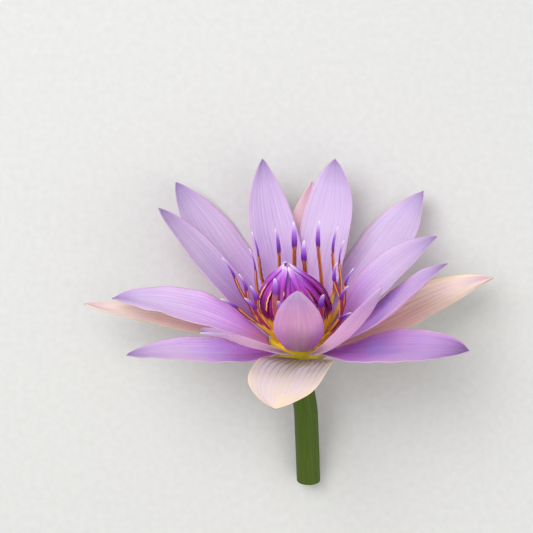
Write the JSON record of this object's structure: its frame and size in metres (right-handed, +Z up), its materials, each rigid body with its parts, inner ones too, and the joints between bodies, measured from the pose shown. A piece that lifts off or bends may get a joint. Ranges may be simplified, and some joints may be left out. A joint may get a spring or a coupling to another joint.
{
  "type": "cut water lily flower",
  "caption": "Cut water lily flower lying on its back: short round stem, cream sepals, pointed lilac petals and a dome of strap-like stamens.",
  "frame": {"origin": "on the surface that the flower lies on, under the middle of its bounding box", "axes": "+X across the flower to its right, +Y from the cut end of the stem towards the petal tips, +Z up from the surface"},
  "size_m": [0.1434, 0.1164, 0.0839],
  "materials": {
    "stem": "smooth olive-green stalk",
    "receptacle": "yellow-green, satin",
    "sepal": "cream to peach, thin veins, satin",
    "petal": "pale lilac, fine lengthwise veins, satin",
    "stamen_open": "yellow foot, orange-edged anther, violet tip",
    "stamen_closed": "dark magenta with orange lines, violet tip"
  },
  "bodies": {
    "root": {"stem": "stem", "receptacle": "receptacle", "sepal_front": "sepal", "sepal_left": "sepal", "sepal_right": "sepal", "sepal_back": "sepal", "petal_back_left": "petal", "petal_back_right": "petal", "petal_upper_left": "petal", "petal_left_inner": "petal", "petal_upper_right": "petal", "petal_right_inner": "petal", "petal_right_middle": "petal", "petal_right_low": "petal", "petal_left_middle": "petal", "petal_left_low": "petal", "petal_front_left": "petal", "petal_front": "petal", "petal_front_right": "petal", "stamen_outer_01": "stamen_open", "stamen_outer_02": "stamen_open", "stamen_outer_03": "stamen_open", "stamen_outer_04": "stamen_open", "stamen_outer_05": "stamen_open", "stamen_outer_06": "stamen_open", "stamen_outer_07": "stamen_open", "stamen_outer_08": "stamen_open", "stamen_outer_09": "stamen_open", "stamen_outer_10": "stamen_open", "stamen_outer_11": "stamen_open", "stamen_outer_12": "stamen_open", "stamen_outer_13": "stamen_open", "stamen_outer_14": "stamen_open", "stamen_outer_15": "stamen_open", "stamen_outer_16": "stamen_open", "stamen_outer_17": "stamen_open", "stamen_outer_18": "stamen_open", "stamen_outer_19": "stamen_open", "stamen_outer_20": "stamen_open", "stamen_outer_21": "stamen_open", "stamen_inner_01": "stamen_closed", "stamen_inner_02": "stamen_closed", "stamen_inner_03": "stamen_closed", "stamen_inner_04": "stamen_closed", "stamen_inner_05": "stamen_closed", "stamen_inner_06": "stamen_closed", "stamen_inner_07": "stamen_closed", "stamen_inner_08": "stamen_closed", "stamen_inner_09": "stamen_closed", "stamen_inner_10": "stamen_closed", "stamen_inner_11": "stamen_closed", "stamen_inner_12": "stamen_closed", "stamen_inner_13": "stamen_closed", "stamen_inner_14": "stamen_closed", "stamen_inner_15": "stamen_closed", "stamen_inner_16": "stamen_closed", "stamen_inner_17": "stamen_closed", "stamen_inner_18": "stamen_closed", "stamen_inner_19": "stamen_closed", "stamen_inner_20": "stamen_closed"}
  },
  "joints": []
}
